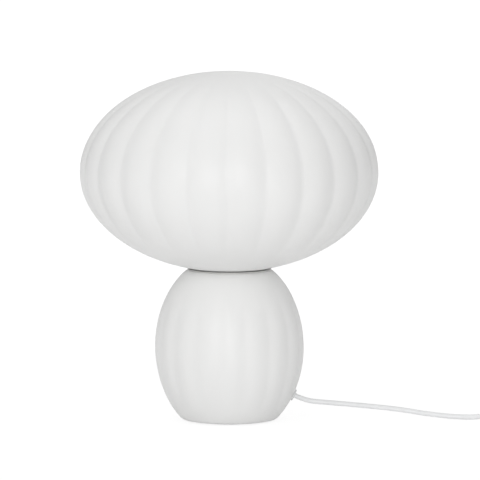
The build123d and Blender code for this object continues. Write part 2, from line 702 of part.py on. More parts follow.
def switch_cover():
    """Upper half of the switch's housing, with the rocker's window and the lugs that carry it."""
    height = SWITCH_HEIGHT - SWITCH_SPLIT_Z
    shell = Pos(SWITCH_X, 0, SWITCH_SPLIT_Z) * extrude(switch_outline(), height)
    shell = chamfer(shell.edges().group_by(Axis.Z)[-1], 2.2)
    shell -= Pos(SWITCH_X, 0, SWITCH_SPLIT_Z) * extrude(switch_outline(SWITCH_WALL), height - SWITCH_WALL)
    shell += switch_posts(SWITCH_SPLIT_Z, SWITCH_HEIGHT - SWITCH_WALL, SWITCH_POST_RADIUS)
    shell -= switch_posts(SWITCH_SPLIT_Z - 1, SWITCH_HEIGHT - 3.0, SWITCH_SCREW_RADIUS + 0.05)
    window = Box(2 * ROCKER_RADIUS - 0.2, ROCKER_WIDTH + 0.5, 3 * SWITCH_WALL)
    shell -= Pos(SWITCH_X, 0, SWITCH_HEIGHT) * window
    low = ROCKER_PIVOT_Z - 2.2
    for side in (-1, 1):
        lug = Box(5.0, 1.4, SWITCH_HEIGHT - 1.0 - low, align=(Align.CENTER, Align.CENTER, Align.MIN))
        shell += Pos(SWITCH_X, side * (ROCKER_WIDTH / 2 + 0.95), low) * lug
    pivot = rod_between(
        (SWITCH_X, -SWITCH_WIDTH / 4 - 2, ROCKER_PIVOT_Z), (SWITCH_X, SWITCH_WIDTH / 4 + 2, ROCKER_PIVOT_Z),
        ROCKER_PIN_RADIUS + 0.06,
    )
    return shell - pivot - switch_ports()


def rocked(shape):
    """A piece of the rocker, turned from level to where it rests."""
    pivot = Axis((SWITCH_X, 0, ROCKER_PIVOT_Z), (0, 1, 0))
    return shape.rotate(pivot, ROCKER_REST_TILT)


def switch_rocker():
    """Rocker with a shallow V on top and ends that are round about its pivot."""
    outline = [(-14, 6.4), (0, 4.3), (14, 6.4), (14, -2), (-14, -2)]
    plane = Plane(origin=(SWITCH_X, 0, ROCKER_PIVOT_Z), x_dir=(1, 0, 0), z_dir=(0, -1, 0))
    body = extrude(plane * make_face(Polyline(*outline, close=True)), ROCKER_WIDTH / 2, both=True)
    body &= extrude(plane * Circle(ROCKER_RADIUS), ROCKER_WIDTH / 2, both=True)
    pins = extrude(plane * Circle(ROCKER_PIN_RADIUS), ROCKER_WIDTH / 2 + 1.3, both=True)
    return rocked(body + pins)


def switch_bridge():
    """Contact plate under the rocker."""
    plate = Box(15, 3.2, 0.6, align=(Align.CENTER, Align.CENTER, Align.MAX))
    return rocked(Pos(SWITCH_X, 1.6, ROCKER_PIVOT_Z - 2) * plate)


def switch_contacts():
    """The two fixed contacts that the live conductor's ends are held by."""
    contacts = Part()
    for way in (-1, 1):
        post = Box(0.8, 3.6, 6.6, align=(Align.CENTER, Align.CENTER, Align.MIN))
        foot = Box(6.0, 3.6, 0.8, align=(Align.CENTER, Align.CENTER, Align.MIN))
        contacts += Pos(SWITCH_X + way * 13.0, 2.2, SWITCH_WALL) * post
        contacts += Pos(SWITCH_X + way * 10.0, 2.2, SWITCH_WALL) * foot
    return contacts


def switch_live_lead():
    """The live conductor's two stretches inside the switch."""
    leads = Part()
    for way, end in ((-1, LEAD_ROUTE[-1][0]), (1, FEED_ROUTE[0][0])):
        leads += conductor((end, 1.3, SWITCH_SPLIT_Z), (SWITCH_X + way * 13.4, 1.3, SWITCH_SPLIT_Z))
    return leads


def conductor(start, end):
    """A straight stretch of one insulated conductor, along X."""
    plane = Plane(origin=start, x_dir=(0, 1, 0), z_dir=(1, 0, 0))
    return extrude(plane * RegularPolygon(LEAD_RADIUS, 6), end[0] - start[0])


def switch_neutral_lead():
    """The neutral conductor, unbroken through the switch."""
    return conductor(*[(x, -1.3, SWITCH_SPLIT_Z) for x in (LEAD_ROUTE[-1][0], FEED_ROUTE[0][0])])


def switch_screws():
    """The two headless screws that hold the switch's halves together."""
    return switch_posts(0.6, SWITCH_HEIGHT - 4.0, SWITCH_SCREW_RADIUS)


def plug_body():
    """Flat two-pin plug, narrowing towards the cord."""
    stations = [
        (0, PLUG_WIDTH, PLUG_HEIGHT), (13, PLUG_WIDTH, PLUG_HEIGHT), (27, 25, 12.8), (PLUG_LENGTH, 14, 11.6),
    ]
    face = Plane(origin=(PLUG_X - PLUG_LENGTH, PLUG_Y, PLUG_HEIGHT / 2), x_dir=(0, 1, 0), z_dir=(1, 0, 0))
    body = loft([face.offset(at) * flat_octagon(width, height) for at, width, height in stations], ruled=True)
    end = face.offset(PLUG_LENGTH)
    width, height = PORT_SIZE
    body -= extrude(end * flat_octagon(width + 0.1, height + 0.1), -SWITCH_WALL - 0.1)
    body -= extrude(end.offset(-SWITCH_WALL - 0.1) * flat_octagon(9.7, 8.3), -1.3)
    return body - plug_pins()


def plug_relief():
    return strain_relief(PLUG_X, PLUG_Y, PLUG_HEIGHT / 2, 1, PLUG_RELIEF_LENGTH)


def pin_bars(outline, start, end):
    """A straight bar with the given outline in the place of each pin, between two distances from the face."""
    bars = Part()
    for side in (-1, 1):
        plane = Plane(
            origin=(PLUG_X - PLUG_LENGTH + start, PLUG_Y + side * PIN_SPACING / 2, PLUG_HEIGHT / 2),
            x_dir=(0, 1, 0), z_dir=(1, 0, 0),
        )
        bars += extrude(plane * outline, end - start)
    return bars


def plug_pins():
    """The two round pins, thinner and eight-sided where the sleeve covers them."""
    return pin_bars(Circle(PIN_RADIUS), -PIN_LENGTH, -SLEEVE_LENGTH) + pin_bars(
        RegularPolygon(PIN_CORE_RADIUS, 8), -SLEEVE_LENGTH, PIN_DEPTH
    )


def plug_pin_sleeves():
    """Insulation round the first half of each pin."""
    ring = Circle(PIN_RADIUS) - RegularPolygon(PIN_CORE_RADIUS, 8)
    return pin_bars(ring, -SLEEVE_LENGTH, 0)


def lamp():
    """Every piece of the lamp, by name."""
    return {
        "shade_glass": shade_glass(),
        "base_glass": base_glass(),
        "foot_pad": foot_pad(),
        "centre_rod": centre_rod(),
        "bottom_gasket": washer(12.0, RECESS_Z - GASKET_THICKNESS, RECESS_Z),
        "rod_washers": rod_washers(),
        "rod_nuts": rod_nuts(),
        "fitter_cup": fitter_cup(),
        "shade_seat_ring": shade_seat_ring(),
        "holder_cap": holder_cap(),
        "holder_insert": holder_insert(),
        "holder_sleeve": holder_sleeve(),
        "terminal_screws": terminal_screws(),
        "centre_contact": centre_contact(),
        "side_contact": side_contact(),
        "screw_shell": screw_shell(),
        "bulb_tip": bulb_tip(),
        "bulb_insulator": bulb_insulator(),
        "bulb_cap": bulb_cap(),
        "bulb_collar": bulb_collar(),
        "bulb_led_board": bulb_led_board(),
        "bulb_globe": bulb_globe(),
        "inner_cord": inner_cord(),
        "live_lead": lead(1),
        "neutral_lead": lead(-1),
        "cord_grommet": cord_grommet(),
        "cord_lead": cord_lead(),
        "cord_feed": cord_feed(),
        "cord_coil": cord_coil(),
        "cord_tail": cord_tail(),
        "cord_tie": cord_tie(),
        "switch_reliefs": switch_reliefs(),
        "switch_base": switch_base(),
        "switch_cover": switch_cover(),
        "switch_rocker": switch_rocker(),
        "switch_bridge": switch_bridge(),
        "switch_contacts": switch_contacts(),
        "switch_live_lead": switch_live_lead(),
        "switch_neutral_lead": switch_neutral_lead(),
        "switch_screws": switch_screws(),
        "plug_body": plug_body(),
        "plug_relief": plug_relief(),
        "plug_pins": plug_pins(),
        "plug_pin_sleeves": plug_pin_sleeves(),
    }


for name, shape in lamp().items():
    export_step(shape, f"parts/{name}.step")
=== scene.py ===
import bpy
import json
from math import asin, copysign, cos, floor, pi, radians, sin, sqrt
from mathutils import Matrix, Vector


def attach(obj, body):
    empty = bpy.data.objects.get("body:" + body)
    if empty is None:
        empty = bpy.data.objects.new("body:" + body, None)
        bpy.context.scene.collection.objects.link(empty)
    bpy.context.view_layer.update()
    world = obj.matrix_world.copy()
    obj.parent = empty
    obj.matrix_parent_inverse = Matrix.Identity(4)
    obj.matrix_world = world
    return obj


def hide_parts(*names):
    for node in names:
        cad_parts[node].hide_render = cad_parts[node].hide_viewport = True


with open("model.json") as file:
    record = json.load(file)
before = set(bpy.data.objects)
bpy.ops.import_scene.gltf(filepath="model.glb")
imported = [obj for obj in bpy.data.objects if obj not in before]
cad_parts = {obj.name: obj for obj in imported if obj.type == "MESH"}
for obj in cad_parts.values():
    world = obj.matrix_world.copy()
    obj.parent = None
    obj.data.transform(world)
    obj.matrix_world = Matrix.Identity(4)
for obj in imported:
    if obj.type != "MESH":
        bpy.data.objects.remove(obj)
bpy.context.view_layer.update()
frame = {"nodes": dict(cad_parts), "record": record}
scene = bpy.context.scene
nodes = frame["nodes"]

# Lengths are in metres. Sizes that the CAD source has too are the same in both, apart from the flex's
# thickness. A height on a glass that is given as an angle is measured on the ellipse of its outline,
# upwards from the ellipse's middle.

# The shade: its ellipse, the valleys between its lobes, and its neck with the rounded rim.
SHADE_RADIUS, SHADE_HALF, SHADE_MID_Z, SHADE_WALL = 0.1175, 0.0786, 0.1962, 0.0036
SHADE_LOBES, SHADE_FIRST_VALLEY, SHADE_DEPTH = 24, radians(-1.0), 0.0018
SHADE_LOBES_FROM, SHADE_LOBES_TO = radians(-57.0), radians(75.0)
SHADE_LOW_EASE, SHADE_HIGH_EASE = radians(24), radians(13)  # over which the valleys fade out
SHADE_DEPTH_POWER = 0.7  # how the valleys' depth follows the radius
SHADE_SOFTNESS = 0.10  # how round the valleys' bottoms are, as a share of half a lobe
NECK_RADIUS, NECK_INNER, NECK_END_Z, NECK_RIM = 0.028, 0.0252, 0.1083, 0.0009

# The base: its ellipse, its flutes, its two rounded rims as (in, up), and the openings at its ends.
BASE_RADIUS, BASE_HALF, BASE_MID_Z, BASE_WALL = 0.0588, 0.074, 0.0580, 0.0036
BASE_FLUTES, BASE_FIRST_VALLEY, BASE_DEPTH = 18, radians(2.5), 0.00075
BASE_FLUTES_FROM, BASE_FLUTES_TO, BASE_EASE = radians(-46.5), radians(40.0), radians(24)
BASE_SOFTNESS = 0.30
BASE_LOW_RIM, BASE_HIGH_RIM = (0.0012, 0.0012), (0.0018, 0.0030)
BASE_BOTTOM_Z, BASE_TOP_Z, BASE_MOUTH = 0.001, 0.1188, 0.0305
BASE_FLOOR_Z, RECESS_Z, RECESS_RADIUS, ROD_HOLE = 0.0125, 0.009, 0.026, 0.0052
POINTS_PER_LOBE = 16  # round each glass

# The flex, drawn 0.4 mm thicker than its solid, as the photograph shows it, and its coil. The coil's
# middle is one outer radius behind the line of the switch.
CORD_WIDTH, CORD_THICKNESS = 0.0052, 0.0038
CORD_WAIST, CORD_SHOULDER = 0.80, 0.35  # as shares of a core's radius, and of its offset
CORE_STEPS = 8
CORD_EXIT_Z, LIP, EXIT_RUN = 0.0195, 0.0012, 0.010
COIL_X, COIL_OUTER, COIL_PITCH, COIL_LAYER, COIL_Z = 0.374, 0.0396, 0.0057, 0.0039, 0.0029
COIL_TURNS_PER_LAYER, COIL_TURNS, COIL_CLIMB_TURNS, POINTS_PER_TURN = 3, 5.5, 0.5, 24

# What is on the flex.
SWITCH_X, SWITCH_HALF, CORD_IN_SWITCH_Z = 0.277, 0.031, 0.0075
PLUG_X, PLUG_Y, PLUG_Z, PLUG_LENGTH, PLUG_WIDTH = 0.290, 0.07635, 0.00685, 0.033, 0.0353
RELIEF_LENGTH, RELIEF_INSIDE, TIE_WIDTH = 0.020, 0.0029, 0.011

# ---------------------------------------------------------------- camera
EYE = Vector((0.0084, -3.6, 0.512))
AIM = Vector((0.0084, 0.0, 0.1420))
VIEW_WIDTH, SENSOR_WIDTH = 0.377, 36.0  # the view's width at the aim, and the sensor's in millimetres
cam_data = bpy.data.cameras.new("camera")
camera = bpy.data.objects.new("camera", cam_data)
scene.collection.objects.link(camera)
scene.camera = camera
camera.location = EYE
camera.rotation_mode = "QUATERNION"
camera.rotation_quaternion = (AIM - EYE).to_track_quat("-Z", "Y")
cam_data.sensor_width = SENSOR_WIDTH
cam_data.lens = SENSOR_WIDTH * (AIM - EYE).length / VIEW_WIDTH
cam_data.clip_start, cam_data.clip_end = 0.1, 40.0

# ---------------------------------------------------------------- node helpers
EVEN = (1, 1, 1)  # the same along every axis, or for every colour


def tune(node, inputs):
    for name, value in inputs.items():
        node.inputs[name].default_value = value


def add(tree, kind, inputs=None, **attributes):
    """A new node with these input values and attributes."""
    node = tree.nodes.new(kind)
    tune(node, inputs or {})
    for name, value in attributes.items():
        setattr(node, name, value)
    return node


def material(name):
    mat = bpy.data.materials.new(name)
    mat.use_nodes = True
    return mat, mat.node_tree, mat.node_tree.nodes["Principled BSDF"]


def noise(tree, scale, detail, fineness=EVEN):
    """Noise in the object's own coordinates, in metres, and finer along each axis by its factor."""
    place = add(tree, "ShaderNodeTexCoord")
    mapping = add(tree, "ShaderNodeMapping", {"Scale": fineness})
    texture = add(tree, "ShaderNodeTexNoise", {"Scale": scale, "Detail": detail})
    tree.links.new(place.outputs["Object"], mapping.inputs["Vector"])
    tree.links.new(mapping.outputs["Vector"], texture.inputs["Vector"])
    return texture.outputs["Fac"]


def tone(tree, shader, colour, spread, scale, fineness=EVEN):
    """A colour that varies a little over the surface."""
    node = add(tree, "ShaderNodeValToRGB")
    dark, light = node.color_ramp.elements
    dark.position, light.position = 0.3, 0.7
    dark.color = (*(c * (1 - spread) for c in colour), 1)
    light.color = (*(min(c * (1 + spread), 1.0) for c in colour), 1)
    tree.links.new(noise(tree, scale, 4, fineness), node.inputs["Fac"])
    tree.links.new(node.outputs["Color"], shader.inputs["Base Color"])


def rough(tree, shader, low, high, scale, fineness=EVEN):
    """A roughness that varies over the surface."""
    node = add(tree, "ShaderNodeMapRange", {"To Min": low, "To Max": high})
    tree.links.new(noise(tree, scale, 4, fineness), node.inputs["Value"])
    tree.links.new(node.outputs["Result"], shader.inputs["Roughness"])


def bump(tree, shader, height, distance, strength):
    node = add(tree, "ShaderNodeBump", {"Strength": strength, "Distance": distance})
    tree.links.new(height, node.inputs["Height"])
    tree.links.new(node.outputs["Normal"], shader.inputs["Normal"])


def soft_skin(shader, weight, depth):
    """Lets light a little way into the surface, by the same depth for every colour."""
    tune(shader, {"Subsurface Weight": weight, "Subsurface Radius": EVEN, "Subsurface Scale": depth})


# ---------------------------------------------------------------- materials by record slot
def opal_glass():
    """Satin etched opal glass: white all through, with a soft skin."""
    mat, tree, s = material("satin_opal_glass")
    tone(tree, s, (0.865, 0.865, 0.858), spread=0.010, scale=14)
    rough(tree, s, low=0.40, high=0.50, scale=60)
    tune(s, {"Specular IOR Level": 0.42, "IOR": 1.5})
    soft_skin(s, weight=0.35, depth=0.0025)
    bump(tree, s, noise(tree, scale=2600, detail=2), distance=0.00002, strength=0.35)
    return mat


def plastic(name, colour, roughness, grain=0.00002, coat=0.0):
    mat, tree, s = material(name)
    tone(tree, s, colour, spread=0.012, scale=90)
    rough(tree, s, roughness - 0.05, roughness + 0.06, scale=300)
    tune(s, {"Coat Weight": coat})
    bump(tree, s, noise(tree, scale=1500, detail=3), grain, strength=0.5)
    return mat


def metal(name, colour, roughness, fineness):
    """A metal with marks across the axis along which its pattern is finest."""
    mat, tree, s = material(name)
    tune(s, {"Metallic": 1.0})
    tone(tree, s, colour, spread=0.05, scale=250, fineness=fineness)
    rough(tree, s, roughness - 0.08, roughness + 0.08, scale=400, fineness=fineness)
    bump(tree, s, noise(tree, 900, 3, fineness), distance=0.00002, strength=0.4)
    return mat


def painted(name, colour):
    mat, tree, s = material(name)
    tone(tree, s, colour, spread=0.01, scale=60)
    rough(tree, s, low=0.34, high=0.46, scale=500)
    bump(tree, s, noise(tree, scale=1800, detail=2), distance=0.00003, strength=0.5)
    return mat


def rubber(name, colour, clear=0.0):
    mat, tree, s = material(name)
    tone(tree, s, colour, spread=0.04, scale=120)
    rough(tree, s, low=0.45, high=0.62, scale=500)
    soft_skin(s, weight=clear, depth=0.0012)
    bump(tree, s, noise(tree, scale=1400, detail=3), distance=0.00002, strength=0.5)
    return mat


def woven(name, colour, threads, depth):
    """A napped cloth with a crossed weave."""
    mat, tree, s = material(name)
    tone(tree, s, colour, spread=0.06, scale=400)
    tune(s, {"Roughness": 0.9, "Sheen Weight": 0.35, "Sheen Roughness": 0.5})
    place = add(tree, "ShaderNodeTexCoord")
    crossed = add(tree, "ShaderNodeMath", operation="MULTIPLY")
    for i, direction in enumerate(("X", "Y")):
        settings = {"Scale": threads, "Distortion": 1.5}
        wave = add(tree, "ShaderNodeTexWave", settings, bands_direction=direction)
        tree.links.new(place.outputs["Object"], wave.inputs["Vector"])
        tree.links.new(wave.outputs["Fac"], crossed.inputs[i])
    bump(tree, s, crossed.outputs[0], depth, strength=0.7)
    return mat


def cord_sheath():
    """Soft white flex: slightly clear at the skin, so its edges read darker."""
    mat, tree, s = material("flex_sheath")
    tone(tree, s, (0.84, 0.845, 0.85), spread=0.02, scale=70)
    rough(tree, s, low=0.32, high=0.44, scale=400)
    soft_skin(s, weight=0.25, depth=0.0008)
    bump(tree, s, noise(tree, scale=900, detail=3), distance=0.00002, strength=0.5)
    return mat


finish_of = {
    "opal_glass": opal_glass(),
    "foot_felt": woven("foot_foam", (0.78, 0.78, 0.76), threads=900, depth=0.0001),
    "zinc_steel": metal("zinc_plate", (0.60, 0.61, 0.63), 0.34, (1, 1, 6)),
    # the white coat is drawn light grey: painted shade for the dark band at the seam under the shade, not
    # the coat's own white
    "white_steel": painted("powder_coat_with_painted_shade", (0.62, 0.62, 0.605)),
    "black_rubber": rubber("black_gasket", (0.025, 0.025, 0.025)),
    "clear_silicone": rubber("clear_silicone", (0.74, 0.75, 0.75), clear=0.5),
    "white_plastic": plastic("white_moulding", (0.80, 0.80, 0.785), 0.30, coat=0.1),
    "black_plastic": plastic("black_phenolic", (0.03, 0.03, 0.03), 0.45),
    "brass": metal("brass", (0.72, 0.53, 0.23), 0.28, (4, 1, 1)),
    "pin_metal": metal("nickel_pin", (0.72, 0.71, 0.69), 0.18, (8, 1, 1)),
    "bulb_metal": metal("bulb_aluminium", (0.76, 0.76, 0.76), 0.25, (1, 1, 8)),
    "bulb_diffuser": plastic("bulb_diffuser", (0.86, 0.86, 0.84), 0.50, grain=0.00001),
    "board": plastic("lamp_board", (0.80, 0.81, 0.79), 0.50),
    "cord_sheath": cord_sheath(),
    "brown_insulation": plastic("brown_insulation", (0.20, 0.09, 0.035), 0.40),
    "blue_insulation": plastic("blue_insulation", (0.03, 0.11, 0.42), 0.40),
    "tie_fabric": woven("tie_cloth", (0.76, 0.76, 0.75), threads=1100, depth=0.00015),
}
slot_of = {part["node"]: part["material_slot"] for part in frame["record"]["subparts"]}


def dress(piece, slot):
    piece.data.materials.clear()
    piece.data.materials.append(finish_of[slot])


# ---------------------------------------------------------------- mesh helpers
def mesh_piece(name, points, faces, smooth=True):
    data = bpy.data.meshes.new(name)
    data.from_pydata(points, [], faces)
    data.validate()
    data.update()
    piece = bpy.data.objects.new(name, data)
    scene.collection.objects.link(piece)
    for polygon in data.polygons:
        polygon.use_smooth = smooth
    return piece


def turned_mesh(name, profile, around, radius_at=None):
    """A closed turned skin from a closed profile of (radius, z, at). A radius of 0 is a single point on
    the axis. Where at isn't None, radius_at(radius, at, angle) shapes the ring round the axis."""
    points, rings = [], []
    for r, z, at in profile:
        if r == 0:
            rings.append([len(points)] * around)
            points.append((0, 0, z))
            continue
        rings.append(range(len(points), len(points) + around))
        for k in range(around):
            angle = 2 * pi * k / around
            ring = r if at is None else radius_at(r, at, angle)
            points.append((ring * cos(angle), ring * sin(angle), z))
    faces = []
    for ring, following in zip(rings, rings[1:] + rings[:1]):
        for k in range(around):
            after = (k + 1) % around
            corners = list(dict.fromkeys((ring[k], ring[after], following[after], following[k])))
            if len(corners) > 2:
                faces.append(corners)
    return mesh_piece(name, points, faces)


def plain(points):
    """Profile points (radius, z, None), which no radius_at shapes."""
    return [(r, z, None) for r, z, *_ in points]


def arc(radius, half, mid_z, start, end, steps):
    """Profile points (radius, z, at) on an ellipse, where at is the angle on it."""
    angles = [start + (end - start) * i / steps for i in range(steps + 1)]
    return [(radius * cos(at), mid_z + half * sin(at), at) for at in angles]


def smooth_step(t):
    """0 up to t = 0 and 1 from t = 1, with a smooth rise between."""
    t = min(max(t, 0.0), 1.0)
    return t * t * (3 - 2 * t)


def fade(at, start, end, low_ease, high_ease):
    """1 between start and end, and easing to 0 at both."""
    return smooth_step(min((at - start) / low_ease, (end - at) / high_ease))


def valley_share(angle, count, first, softness):
    """0 on the crest of a lobe and 1 in the valley between two."""
    turn = (angle - first) / (2 * pi / count)
    off = abs(turn - floor(turn) - 0.5) * 2
    highest = sqrt(1 + softness**2)
    return (sqrt((1 - off) ** 2 + softness**2) - highest) ** 2 / (softness - highest) ** 2


# ---------------------------------------------------------------- the flex
def exit_frame():
    """Where the flex leaves the base's skin, and the way straight out of it."""
    at = asin((CORD_EXIT_Z - BASE_MID_Z) / BASE_HALF)
    outward = Vector((cos(at) / BASE_RADIUS, 0, sin(at) / BASE_HALF)).normalized()
    return Vector((BASE_RADIUS * cos(at), 0, CORD_EXIT_Z)), outward


def coil_point(turns):
    """The coil's line: inwards on the first layer, up, and outwards on the second."""
    per_cycle = 2 * COIL_TURNS_PER_LAYER
    phase = turns % per_cycle
    radius = COIL_OUTER - COIL_PITCH * min(phase, per_cycle - phase)
    angle = 2 * pi * turns - pi / 2
    climb = smooth_step((turns - COIL_TURNS_PER_LAYER + COIL_CLIMB_TURNS / 2) / COIL_CLIMB_TURNS)
    return (COIL_X + radius * cos(angle), COIL_OUTER + radius * sin(angle), COIL_Z + COIL_LAYER * climb)


def metres(*points):
    return [tuple(v / 1000 for v in point) for point in points]


exit_at, exit_way = exit_frame()
cord_start = exit_at + exit_way * LIP
route = [tuple(cord_start), tuple(cord_start + exit_way * EXIT_RUN)]
# down to the table, along it, through the switch and on to the coil
route += metres(
    (78.0, -0.4, 13.3), (104.0, 0.8, 10.9), (134.0, 0.6, 7.9), (156.0, -1.0, 4.3), (178.0, -2.2, 2.2),
    (194.0, -1.6, 1.8), (204.0, -0.8, 3.6), (213.0, 0.0, 6.2), (221.5, 0.0, 7.5), (230.0, 0.0, 7.5),
    (262.0, 0.0, 7.5), (292.0, 0.0, 7.5), (324.0, 0.0, 7.5), (332.5, 0.0, 7.5), (342.5, 0.0, 6.2),
    (353.0, 0.0, 3.9), (362.0, 0.0, 2.9),
)
for step in range(round(COIL_TURNS * POINTS_PER_TURN) + 1):
    route.append(coil_point(step / POINTS_PER_TURN))
# off the coil's second layer and into the plug
route += metres(
    (359.5, 76.2, 6.8), (350.0, 75.4, 6.7), (338.5, 75.3, 5.6), (327.0, 76.0, 5.9), (316.0, 76.35, 6.85),
    (307.5, 76.35, 6.85),
)


def flex_profile():
    """The flex's cross-section: two round cores with a shallow waist between them."""
    curve = bpy.data.curves.new("flex_profile", "CURVE")
    curve.dimensions = "2D"
    core = CORD_THICKNESS / 2
    offset = CORD_WIDTH / 2 - core
    waist = CORD_WAIST * core
    shoulder, shoulder_height = CORD_SHOULDER * offset, 0.5 * (core + waist)
    points = []
    for side in (1, -1):
        for k in range(CORE_STEPS + 1):
            angle = -side * pi / 2 + pi * k / CORE_STEPS
            points.append((side * offset + core * cos(angle), core * sin(angle)))
        points += [(side * shoulder, side * shoulder_height), (0.0, side * waist)]
        points.append((-side * shoulder, side * shoulder_height))
    outline = curve.splines.new("POLY")
    outline.points.add(len(points) - 1)
    for point, (x, y) in zip(outline.points, points):
        point.co = (x, y, 0, 1)
    outline.use_cyclic_u = True
    profile = bpy.data.objects.new("flex_profile", curve)
    scene.collection.objects.link(profile)
    profile.hide_render = True
    profile.hide_viewport = True
    return profile


flex_curve = bpy.data.curves.new("flex", "CURVE")
flex_curve.dimensions = "3D"
flex_curve.twist_mode = "Z_UP"
spline = flex_curve.splines.new("NURBS")
spline.points.add(len(route) - 1)
for point, place in zip(spline.points, route):
    point.co = (*place, 1)
spline.order_u = 3
spline.use_endpoint_u = True
spline.resolution_u = 6
flex_curve.bevel_mode = "OBJECT"
flex_curve.bevel_object = flex_profile()
flex_curve.use_fill_caps = True
flex = bpy.data.objects.new("flex", flex_curve)
scene.collection.objects.link(flex)
dress(flex, "cord_sheath")
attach(flex, "base")
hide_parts("cord_lead", "cord_feed", "cord_coil", "cord_tail")


# ---------------------------------------------------------------- glass
def shade():
    """The ribbed shade: lobes between soft valleys, a plain neck, and the smooth inside."""
    outer_steps, inner_steps, rim_steps = 120, 40, 6
    neck_at = -asin(sqrt(1 - (NECK_RADIUS / SHADE_RADIUS) ** 2))
    profile = arc(SHADE_RADIUS, SHADE_HALF, SHADE_MID_Z, neck_at, pi / 2, outer_steps)[:-1]
    inner_radius, inner_half = SHADE_RADIUS - SHADE_WALL, SHADE_HALF - SHADE_WALL
    profile += plain([(0, SHADE_MID_Z + SHADE_HALF), (0, SHADE_MID_Z + inner_half)])
    inner_neck_at = -asin(sqrt(1 - (NECK_INNER / inner_radius) ** 2))
    profile += plain(arc(inner_radius, inner_half, SHADE_MID_Z, pi / 2, inner_neck_at, inner_steps)[1:])
    # the neck's rim, from the inside round its lower edge to the outside
    middle, half = (NECK_RADIUS + NECK_INNER) / 2, (NECK_RADIUS - NECK_INNER) / 2
    for k in reversed(range(rim_steps + 1)):
        angle = -pi * k / rim_steps
        profile.append((middle + half * cos(angle), NECK_END_Z + NECK_RIM + NECK_RIM * sin(angle), None))

    def radius_at(r, at, angle):
        depth = SHADE_DEPTH * (r / SHADE_RADIUS) ** SHADE_DEPTH_POWER
        depth *= fade(at, SHADE_LOBES_FROM, SHADE_LOBES_TO, SHADE_LOW_EASE, SHADE_HIGH_EASE)
        return r - depth * valley_share(angle, SHADE_LOBES, SHADE_FIRST_VALLEY, SHADE_SOFTNESS)

    return turned_mesh("ribbed_shade", profile, SHADE_LOBES * POINTS_PER_LOBE, radius_at)


def rounding(start, corner, end, steps=8):
    """Profile points on a curve that leaves start towards the corner and arrives at end from it."""
    curve = []
    for k in range(1, steps + 1):
        t = k / steps
        weights = ((1 - t) ** 2, 2 * t * (1 - t), t * t)
        r, z = (sum(w * p[axis] for w, p in zip(weights, (start, corner, end))) for axis in (0, 1))
        curve.append((r, z, None))
    return curve


def ease_ends(profile, low_rim, high_rim):
    """Rounds both ends of a profile over their (in, up), as fire-polished glass is."""
    (r0, z0, _), (r1, z1, _) = profile[0], profile[-1]
    body = [point for point in profile if z0 + low_rim[1] < point[1] < z1 - high_rim[1]]
    low = rounding(body[0], (r0, z0), (r0 - low_rim[0], z0))
    high = rounding(body[-1], (r1, z1), (r1 - high_rim[0], z1))
    return low[::-1] + body + high


def base():
    """The fluted base: an open egg with a floor, and a recess under it."""
    outer_steps, inner_steps = 80, 30
    low = asin((BASE_BOTTOM_Z - BASE_MID_Z) / BASE_HALF)
    high = asin((BASE_TOP_Z - BASE_MID_Z) / BASE_HALF)
    outer = arc(BASE_RADIUS, BASE_HALF, BASE_MID_Z, low, high, outer_steps)
    profile = ease_ends(outer, BASE_LOW_RIM, BASE_HIGH_RIM)
    inner_radius, inner_half = BASE_RADIUS - BASE_WALL, BASE_HALF - BASE_WALL
    mouth_z = BASE_MID_Z + inner_half * sqrt(1 - (BASE_MOUTH / inner_radius) ** 2)
    inner_low = asin((BASE_FLOOR_Z - BASE_MID_Z) / inner_half)
    inner_high = asin((mouth_z - BASE_MID_Z) / inner_half)
    # the mouth's lower edge is there twice, as its own ring and the arc's first, and so it stays sharp
    profile += plain([(BASE_MOUTH, BASE_TOP_Z), (BASE_MOUTH, mouth_z)])
    profile += plain(arc(inner_radius, inner_half, BASE_MID_Z, inner_high, inner_low, inner_steps))
    profile += plain([(ROD_HOLE, BASE_FLOOR_Z), (ROD_HOLE, RECESS_Z)])
    profile += plain([(RECESS_RADIUS, RECESS_Z), (RECESS_RADIUS, BASE_BOTTOM_Z)])

    def radius_at(r, at, angle):
        depth = BASE_DEPTH * r / BASE_RADIUS
        depth *= fade(at, BASE_FLUTES_FROM, BASE_FLUTES_TO, BASE_EASE, BASE_EASE)
        return r - depth * valley_share(angle, BASE_FLUTES, BASE_FIRST_VALLEY, BASE_SOFTNESS)

    return turned_mesh("fluted_base", profile, BASE_FLUTES * POINTS_PER_LOBE, radius_at)


shade_piece = shade()
dress(shade_piece, "opal_glass")
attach(shade_piece, "shade")
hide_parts("shade_glass")

base_piece = base()
dress(base_piece, "opal_glass")
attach(base_piece, "base")
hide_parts("base_glass")


# ---------------------------------------------------------------- strain reliefs and plug
def rounded_ring(half_width, half_height, around, squareness):
    """Points round a flat oval with full corners, as (across, up)."""
    ring = []
    for k in range(around):
        angle = 2 * pi * k / around
        across, up = (copysign(abs(v) ** (2 / squareness), v) for v in (cos(angle), sin(angle)))
        ring.append((half_width * across, half_height * up))
    return ring


def ringed_piece(name, slot, line, places, around=40, squareness=2.8):
    """One or more bodies along X, each from an (x, y, z) and a way, 1 or -1. Its rings follow a line of
    (distance, half width, half height), and its first and last ring are capped."""
    points, faces = [], []
    for x, y, z, way in places:
        first = len(points)
        for distance, half_width, half_height in line:
            for across, up in rounded_ring(half_width, half_height, around, squareness):
                points.append((x + way * distance, y + way * across, z + up))
        last = len(points) - around
        for ring in range(first, last, around):
            for k in range(around):
                after, next_ring = (k + 1) % around, ring + around
                faces.append((ring + k, ring + after, next_ring + after, next_ring + k))
        faces.append(tuple(first + k for k in reversed(range(around))))
        faces.append(tuple(last + k for k in range(around)))
    piece = mesh_piece(name, points, faces)
    dress(piece, slot)
    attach(piece, "base")
    return piece


